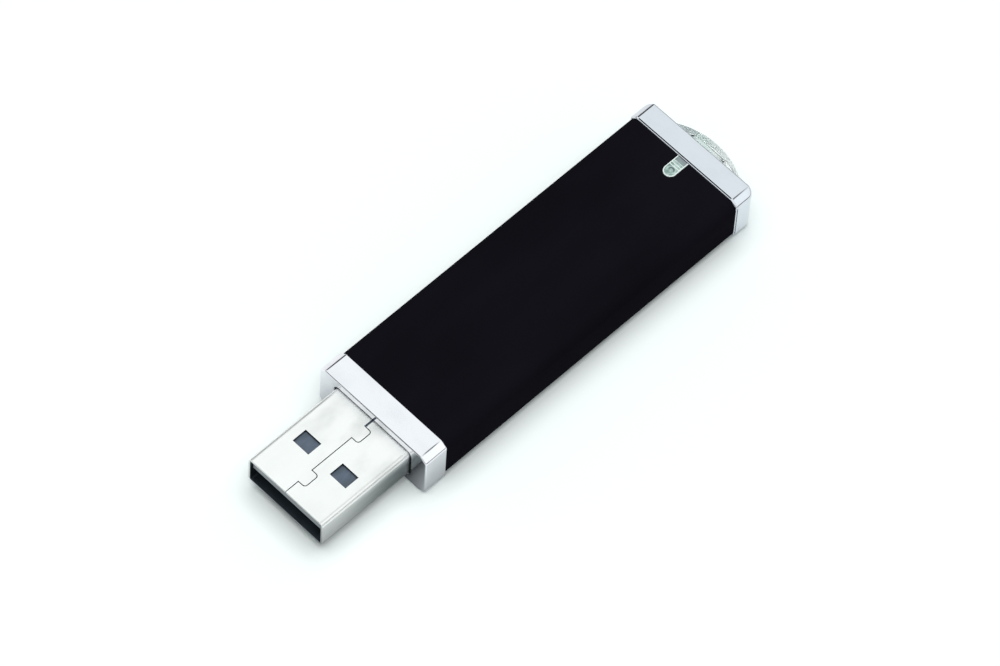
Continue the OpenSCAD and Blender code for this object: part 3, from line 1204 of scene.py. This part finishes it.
@dataclass
class LightGuide:
    """The clear moulding: the lens in the sleeve's slot and the lanyard loop."""

    gap: float = 0.05
    slot_width: float = 1.8
    slot_length: float = 3.1
    plate_height: float = 2.4
    loop_rise: float = 2.25
    eye: Span = (5.6, 1.55)
    eye_radius: float = 0.6
    eye_lead: float = 0.3
    loop_edge: float = 0.22
    lens_sink: float = 0.3
    lens_edge: float = 0.07
    lens_rim: float = 0.15
    recess: float = 0.1
    dimple_radius: float = 0.55
    dimple_rise: float = 0.42
    rib_count: int = 3
    rib_start: float = 1.5
    rib_step: float = 0.36
    rib_length: float = 0.13
    rib_drop: float = 0.03

    def build(self) -> None:
        """Builds the lens and the loop as one moulding."""
        low, high = node_box("light_guide_loop")
        cap_rear = node_box("rear_cap")[1].y
        sleeve_rear = node_box("body_sleeve")[1].y
        mid = (node_box("body_sleeve")[1].z) / 2
        half_w = high.x
        plate_low, plate_high = mid - self.plate_height / 2, mid + self.plate_height / 2
        plate = self.plate(half_w, low.y, high.y, plate_low, plate_high)
        eye_rear = cap_rear + self.eye[1]
        eye_tool = Solid.block(
            (-self.eye[0] / 2, cap_rear - self.eye_lead, plate_low - 1),
            (self.eye[0] / 2, eye_rear, plate_high + 1),
        )
        eye_tool.round_off(runs(Axis.UP), self.eye_radius, 8)
        plate.work(eye_tool, Cut.TAKE)
        behind_cap = within(
            (-half_w - 1, cap_rear - self.eye_lead - self.gap, plate_low - 1),
            (half_w + 1, high.y + 1, plate_high + 1),
        )
        for level in (plate_low, plate_high):
            plate.round_off(both(lies(Axis.UP, level), behind_cap), self.loop_edge, 4)
        lens = self.lens(sleeve_rear, plate_high - self.lens_sink, high.z)
        plate.work(lens, Cut.ADD)
        paint = lambda middle: 1 if middle.z > plate_high + NEAR else 0
        piece = plate.piece("light_guide", [ClearResin(), LensResin()], paint)
        hand_over(piece, "clear_plastic", "light_guide_loop")

    def plate(self, half_w: float, front: float, rear: float, low: float, high: float) -> Solid:
        """The flat plate whose rear edge is the loop's arc.

        Args:
            half_w: Half of its width.
            front: Its front edge.
            rear: The loop's rearmost point.
            low: Its underside.
            high: Its top.

        Returns:
            The plate.
        """
        rise = self.loop_rise
        radius = (half_w**2 + rise**2) / (2 * rise)
        plate = Solid.block((-half_w, front, low), (half_w, rear + 1, high))
        middle = (low + high) / 2
        disc = Solid.drum((0, rear - radius, middle), radius, high - low + 2, 256)
        behind = Solid.block(
            (-half_w - 1, front - 1, low - 2), (half_w + 1, rear - rise - 1.2, high + 2)
        )
        disc.work(behind, Cut.ADD)
        return plate.combine(disc, Cut.KEEP)

    def lens(self, rear: float, low: float, high: float) -> Solid:
        """The lens with its rim, its dimple over the lamp and its cross ribs.

        Args:
            rear: The sleeve's rear end.
            low: Where it joins the plate.
            high: The sleeve's top.

        Returns:
            The lens.
        """
        front = rear - self.slot_length + self.gap
        half = self.slot_width / 2 - self.gap
        body = Case.slot_tool(half, front, rear - self.gap, low, high)
        body.round_off(lies(Axis.UP, high), self.lens_edge, 3)
        inner = half - self.lens_rim
        floor = high - self.recess
        body.work(Case.slot_tool(inner, front + self.lens_rim, rear + 1, floor, high + 1), Cut.TAKE)
        dimple = (0, front + half + self.gap, floor + self.dimple_rise)
        body.work(Solid.ball(dimple, self.dimple_radius), Cut.TAKE)
        reach, top = inner + self.rib_drop, high - self.rib_drop
        for step in range(self.rib_count):
            y = front + self.rib_start + self.rib_step * step
            rib = Solid.block((-reach, y, floor - self.gap), (reach, y + self.rib_length, top))
            rib.round_off(both(runs(Axis.ACROSS), lies(Axis.UP, top)), 0.05, 3)
            body.work(rib, Cut.ADD)
        return body


# ------------------------------------------------------------------ plug


@dataclass
class Plug:
    """The folded steel shell, the plastic tongue and the four contacts."""

    shell_radius: float = 0.65
    wall: float = 0.3
    lug_length: float = 2.0
    window: Span = (2.5, 2.0)
    window_back: float = 5.2
    window_x: float = 3.0
    seam_gap: float = 0.12
    seam_slot: float = 0.28
    tab: Span = (1.05, 2.1)
    tab_starts: Span = (2.0, 10.25)
    tongue_back: float = 0.4
    block_length: float = 3.8
    tip_edge: float = 0.06
    mouth_edge: float = 0.03
    window_corner: float = 0.16
    window_edge: float = 0.05
    tab_corner: float = 0.38
    tongue_gap: float = 0.05
    tongue_radius: float = 0.35
    nose_edge: float = 0.1
    groove_depth: float = 0.02
    contact_nose: float = 0.3
    contact_nodes: tuple[str, ...] = (
        "contact_power",
        "contact_data_minus",
        "contact_data_plus",
        "contact_ground",
    )

    def shell(self) -> None:
        """Builds the steel shell with its seam, windows and lugs."""
        low, high = node_box("plug_shell")
        rear = high.y - self.lug_length
        body_high = Vector((high.x, rear, high.z))
        body = Solid.block(low, body_high).round_off(runs(Axis.ALONG), self.shell_radius, 8)
        body.round_off(lies(Axis.ALONG, low.y), self.tip_edge, 3)
        wall = Vector((self.wall, -1.0, self.wall))
        inside = Solid.block(low + wall, body_high - wall)
        inside.round_off(runs(Axis.ALONG), self.shell_radius - self.wall, 5)
        body.work(inside, Cut.TAKE)
        mouth = within(
            (low.x + self.wall - 0.02, low.y - 0.01, low.z + self.wall - 0.02),
            (high.x - self.wall + 0.02, low.y + 0.01, high.z - self.wall + 0.02),
        )
        body.round_off(mouth, self.mouth_edge, 2)
        start = low.y + self.window_back
        half, length = self.window[0] / 2, self.window[1]
        for side in (-1, 1):
            tool = Solid.block(
                (side * self.window_x - half, start, low.z - 1),
                (side * self.window_x + half, start + length, high.z + 1),
            )
            body.work(tool.round_off(runs(Axis.UP), self.window_corner, 4), Cut.TAKE)
        reach = self.window_x + half + 0.15
        windows = within((-reach, start - 0.1, low.z - 1), (reach, start + length + 0.1, high.z + 1))
        for level in (low.z, high.z):
            body.round_off(both(lies(Axis.UP, level), windows), self.window_edge, 2)
        body.work(self.seam(low.y, high.z), Cut.TAKE)
        slot = Solid.block(
            (-self.seam_slot / 2, low.y + self.tab_starts[1] + self.tab[1] - 0.04, high.z - 2 * self.wall),
            (self.seam_slot / 2, rear + 1, high.z + 1),
        )
        body.work(slot, Cut.TAKE)
        board_low, board_high = node_box("circuit_board")
        for side in (-1, 1):
            xs = sorted((side * high.x, side * (high.x - self.wall)))
            body.work(
                Solid.block((xs[0], rear - 0.2, board_low.z), (xs[1], high.y, board_high.z)), Cut.ADD
            )
        hand_over(body.piece("plug_steel_shell", [PlugSteel()]), "plug_steel", "plug_shell")

    def seam(self, tip: float, top: float) -> Solid:
        """The wall that cuts the interlocking seam.

        Args:
            tip: The plug's front end.
            top: The shell's top face.

        Returns:
            The wall.
        """
        out, length = self.tab
        first, second = (tip + s for s in self.tab_starts)
        corners = [
            (0.0, tip - 1.0),
            (0.0, first),
            (out, first),
            (out, first + length),
            (0.0, first + length),
            (0.0, second),
            (out, second),
            (out, second + length),
            (0.0, second + length),
        ]
        outer = [i for i, corner in enumerate(corners) if corner[0] > 0]
        return Solid.ribbon(
            corners, outer, self.tab_corner, self.seam_gap, top - 2 * self.wall, top + 1
        )

    def tongue(self) -> None:
        """Builds the tongue with its grooves and the block behind it."""
        low, high = node_box("plug_insulator")
        tongue_low = node_box("contact_power")[0].z + 0.1
        shell_high = node_box("plug_shell")[1]
        top = shell_high.z - self.wall - self.tongue_gap
        half = high.x - self.tongue_gap
        body = Solid.block((-half, low.y, tongue_low), (half, high.y, top))
        body.round_off(both(runs(Axis.ALONG), lies(Axis.UP, top)), self.tongue_radius, 5)
        body.round_off(lies(Axis.ALONG, low.y), self.nose_edge, 3)
        block = Solid.block(Vector((low.x, high.y - self.block_length, low.z)), high)
        body.work(block.round_off(runs(Axis.ALONG), self.tongue_radius, 5), Cut.ADD)
        for node in self.contact_nodes:
            groove_low, groove_high = node_box(node)
            groove = Solid.block(
                groove_low - Vector((0.0, 0.0, self.groove_depth)),
                Vector((groove_high.x, high.y + 1, groove_high.z)),
            )
            body.work(groove, Cut.TAKE)
        hand_over(body.piece("plug_tongue", [TonguePlastic()]), "insulator_plastic", "plug_insulator")

    def contacts(self) -> None:
        """Builds the four contact strips with rounded front ends."""
        for node in self.contact_nodes:
            low, high = node_box(node)
            strip = Solid.block(low, high)
            strip.round_off(both(runs(Axis.UP), lies(Axis.ALONG, low.y)), self.contact_nose, 6)
            strip.round_off(lies(Axis.UP, low.z), 0.05, 2)
            hand_over(strip.piece(f"{node}_strip", [ContactPlating()]), "contact_plating", node)

    def build(self) -> None:
        """Builds the plug."""
        self.shell()
        self.tongue()
        self.contacts()


# ------------------------------------------------------------------ electronics


@dataclass
class Electronics:
    """The parts on the board, whose CAD shapes stay and get their real finishes."""

    finishes: dict[str, Finish] = field(
        default_factory=lambda: {
            "circuit_board": BoardLaminate(),
            "controller_chip": ChipPlastic(),
            "controller_leads": LeadTin(),
            "memory_chip": ChipPlastic(),
            "memory_leads": LeadTin(),
            "crystal_base": PartCeramic(),
            "crystal_lid": LidMetal(),
            "voltage_regulator": ChipPlastic(),
            "regulator_leads": LeadTin(),
            "led_base": LampWhite(),
            "led_capsule": LampClear(),
            "capacitors": PartCeramic(),
            "resistors": ResistorBlack(),
            "ferrite_bead": FerriteGrey(),
        }
    )

    def build(self) -> None:
        """Gives each inner CAD node its finish."""
        for node, finish in self.finishes.items():
            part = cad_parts[node]
            material = finish.make()
            for holder in part.material_slots:
                holder.material = material
            log.info("%s: %s", node, material.name)


# ------------------------------------------------------------------ studio


@dataclass(frozen=True)
class Panel:
    """A round patch of the room that mirrors see brighter or darker than the rest."""

    centre: Colour
    start: float
    end: float
    gain: float


@dataclass
class Studio:
    """Floor, light and camera."""

    room: float = 0.42
    ceiling: Span = (0.20, 0.50)
    ceiling_gain: float = 0.67
    darkest: float = 0.06
    spread_light: float = 0.36
    air: Colour = (0.96, 1.0, 0.995)
    panels: tuple[Panel, ...] = (
        Panel((0.80, 0.37, 0.47), 0.92, 0.965, 0.15),
        Panel((0.25, 0.384, 0.89), 0.972, 0.992, -0.90),
        Panel((-0.348, -0.88, 0.30), 0.84, 0.93, -0.80),
        Panel((-0.348, 0.90, 0.22), 0.90, 0.955, -0.60),
        Panel((-0.78, 0.40, 0.42), 0.955, 0.985, -0.95),
        Panel((0.92, 0.384, 0.08), 0.955, 0.985, -0.60),
    )
    key_energy: float = 2.75
    key_spread: float = 60.0
    key_direction: Colour = (0.04, 0.0, 0.99)
    floor_half: float = 2000.0
    azimuth: float = 42.199
    elevation: float = 58.761
    roll: float = 3.925
    distance: float = 832.401
    aim: Colour = (0.434, -0.983, 3.0)
    lens: float = 263.794

    def floor(self) -> None:
        """Lays the white paper."""
        shape = bmesh.new()
        bmesh.ops.create_grid(shape, x_segments=1, y_segments=1, size=self.floor_half * MM)
        bmesh.ops.translate(shape, vec=(0, 0, -0.01 * MM), verts=shape.verts)
        mesh = bpy.data.meshes.new("paper")
        shape.to_mesh(mesh)
        shape.free()
        paper = bpy.data.objects.new("paper", mesh)
        bpy.context.scene.collection.objects.link(paper)
        mesh.materials.append(FloorPaper().make())

    def world(self) -> None:
        """Builds the room. Diffuse rays see an even light, and other rays see the panels."""
        world = bpy.data.worlds.new("studio")
        world.use_nodes = True
        tree = NodeTree(world.node_tree)
        direction = tree.node("ShaderNodeTexCoord").outputs["Generated"]
        up = Signal(tree, tree.node("ShaderNodeSeparateXYZ", inputs={0: direction}).outputs[2])
        light = self.room + up.smooth(*self.ceiling) * self.ceiling_gain
        for panel in self.panels:
            toward = tree.node(
                "ShaderNodeVectorMath",
                {"operation": "DOT_PRODUCT"},
                {0: direction, 1: Vector(panel.centre).normalized()},
            )
            patch = Signal(tree, toward.outputs["Value"]).smooth(panel.start, panel.end)
            light = light + patch * panel.gain
        path = tree.node("ShaderNodeLightPath")
        spread = Signal(tree, path.outputs["Is Diffuse Ray"])
        strength = light.most(self.darkest) * (1.0 - spread) + spread * self.spread_light
        background = tree.node(
            "ShaderNodeBackground", inputs={"Color": (*self.air, 1.0), "Strength": strength}
        )
        tree.node("ShaderNodeOutputWorld", inputs={"Surface": background.outputs[0]})
        bpy.context.scene.world = world

    def lamp(self) -> None:
        """Adds the wide soft key light, which mirrors don't show."""
        key = bpy.data.lights.new("key", "SUN")
        key.energy = self.key_energy
        key.angle = math.radians(self.key_spread)
        holder = bpy.data.objects.new("key", key)
        turn = Vector(self.key_direction).to_track_quat("Z", "Y")
        holder.matrix_world = turn.to_matrix().to_4x4()
        holder.visible_glossy = False
        bpy.context.scene.collection.objects.link(holder)

    def camera(self) -> None:
        """Sets the camera up."""
        azimuth, elevation, roll = (math.radians(a) for a in (self.azimuth, self.elevation, self.roll))
        back = Vector(
            (
                math.sin(azimuth) * math.cos(elevation),
                -math.cos(azimuth) * math.cos(elevation),
                math.sin(elevation),
            )
        )
        right = Vector((math.cos(azimuth), math.sin(azimuth), 0.0))
        up = back.cross(right)
        turned_right = right * math.cos(roll) + up * math.sin(roll)
        turned_up = up * math.cos(roll) - right * math.sin(roll)
        view = bpy.data.cameras.new("view")
        view.sensor_fit = "HORIZONTAL"
        view.sensor_width = 36.0
        view.lens = self.lens
        view.clip_start = 0.01
        view.clip_end = 20.0
        holder = bpy.data.objects.new("view", view)
        turn = Matrix((turned_right, turned_up, back)).transposed().to_4x4()
        holder.matrix_world = Matrix.Translation((Vector(self.aim) + back * self.distance) * MM) @ turn
        bpy.context.scene.collection.objects.link(holder)
        bpy.context.scene.camera = holder

    def build(self) -> None:
        """Sets the studio up."""
        self.floor()
        self.world()
        self.lamp()
        self.camera()
        bpy.context.scene.view_settings.view_transform = "Standard"


def main() -> None:
    """Builds the studio and the stick, and reports each piece."""
    logging.basicConfig(level=logging.INFO, format="%(name)s: %(message)s")
    Studio().build()
    Case().build()
    LightGuide().build()
    Plug().build()
    Electronics().build()


if __name__ == "__main__":
    main()
